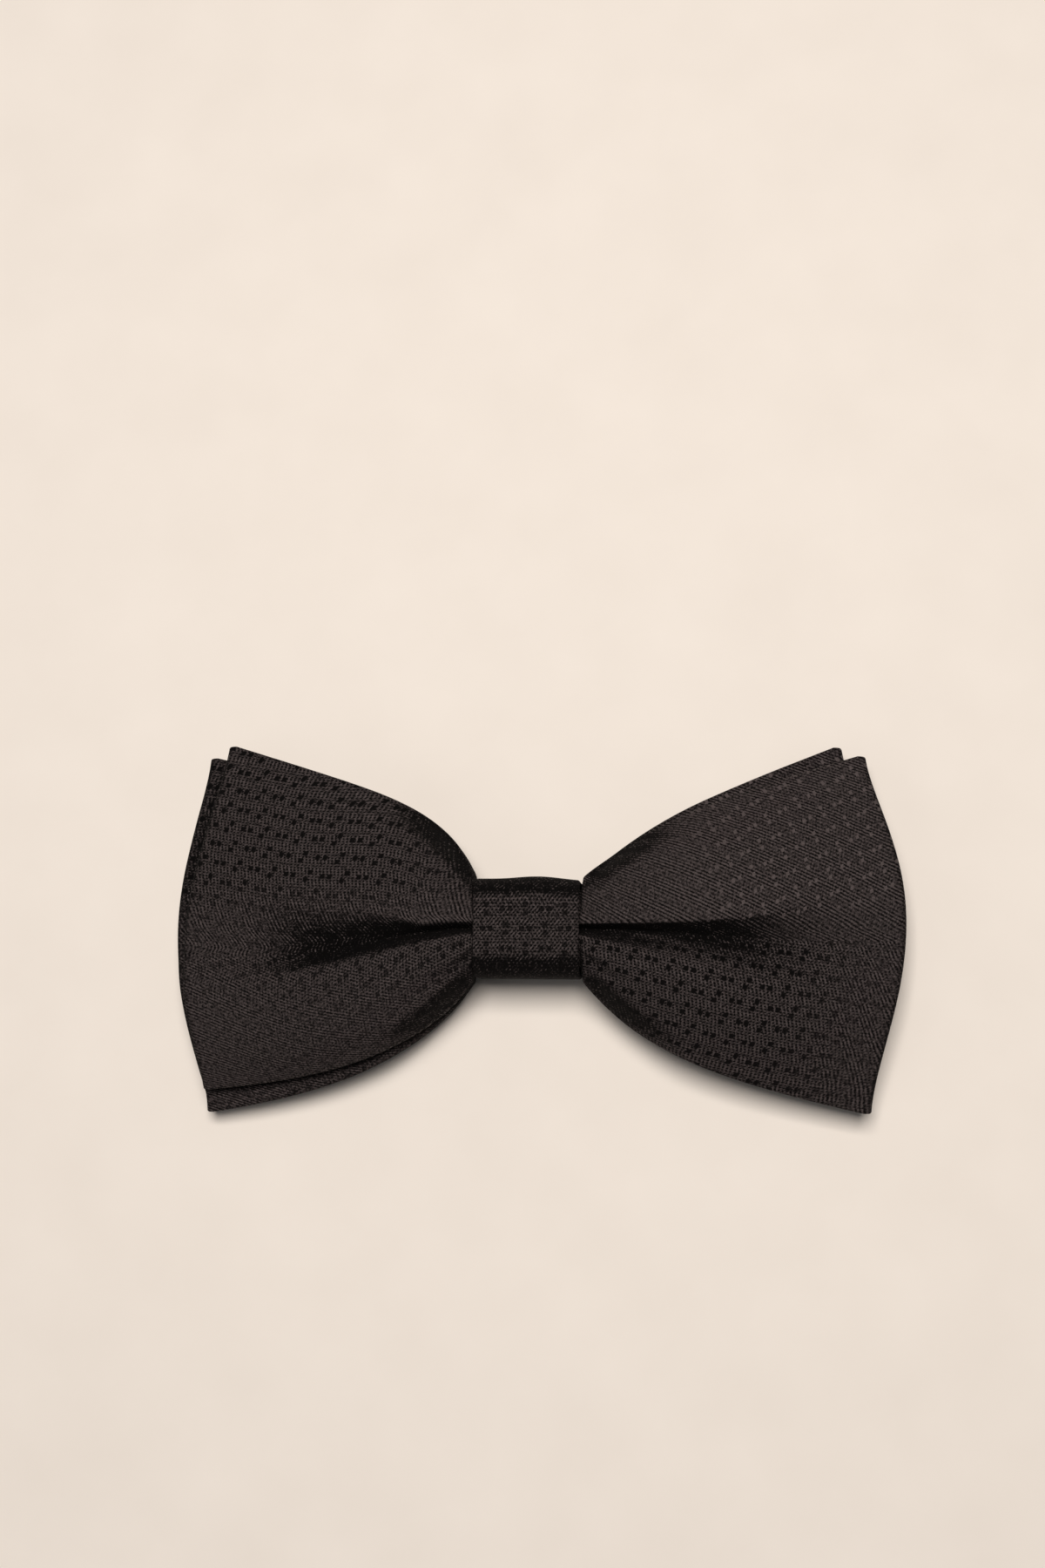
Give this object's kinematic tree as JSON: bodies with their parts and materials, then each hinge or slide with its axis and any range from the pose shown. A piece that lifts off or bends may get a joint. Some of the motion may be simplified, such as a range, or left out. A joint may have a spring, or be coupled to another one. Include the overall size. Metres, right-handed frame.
{
  "type": "bow tie",
  "caption": "Pre-tied bow tie lying flat: stacked looped bows of patterned cloth in a knot wrap, on a folded adjustable neck band with slider, hook and eye.",
  "frame": {"origin": "centre of the knot, on the flat surface that the tie lies on", "axes": "+X to the viewer's right along the bow, +Y up as worn, +Z out of the bow's front"},
  "size_m": [0.1231, 0.0627, 0.0198],
  "materials": {
    "jacquard": "matte charcoal jacquard with a fine dotted ground",
    "band_cloth": "plain charcoal satin ribbon",
    "interlining": "stiff undyed interlining",
    "thread": "black polyester sewing thread",
    "nickel": "satin nickel plate"
  },
  "bodies": {
    "band": {"neck_band": "band_cloth", "neck_band_interlining": "interlining", "eye_end_stitches": "thread"},
    "bow": {"front_bow_cover": "jacquard", "front_bow_interlining": "interlining", "rear_bow_cover": "jacquard", "rear_bow_interlining": "interlining", "waist_binding_thread": "thread", "knot_wrap": "jacquard", "knot_interlining": "interlining", "knot_closing_stitches": "thread"},
    "eye": {"eye": "nickel"},
    "hook_end": {"band_hook_loop": "band_cloth"},
    "hook": {"hook": "nickel"},
    "slider": {"slider": "nickel", "band_slider_tab": "band_cloth", "slider_tab_stitches": "thread"}
  },
  "joints": [
    {"name": "bow_slide", "type": "slide", "parent": "band", "child": "bow", "axis": [1, 0, 0], "range_m": [-0.012, 0.012]},
    {"name": "eye_pivot", "type": "hinge", "parent": "band", "child": "eye", "pos_m": [-0.0422, 0, 0.007], "axis": [0, -1, 0], "range_deg": [0, 30]},
    {"name": "hook_end_slide", "type": "slide", "parent": "band", "child": "hook_end", "axis": [1, 0, 0], "range_m": [0, 0.008]},
    {"name": "hook_pivot", "type": "hinge", "parent": "hook_end", "child": "hook", "pos_m": [0.0422, 0, 0.00165], "axis": [0, -1, 0], "range_deg": [0, 20]},
    {"name": "slider_slide", "type": "slide", "parent": "hook_end", "child": "slider", "axis": [1, 0, 0], "range_m": [0, 0.008]}
  ],
  "couplings": [
    {"joint": "slider_slide", "follows": "hook_end_slide", "ratio": 1}
  ]
}
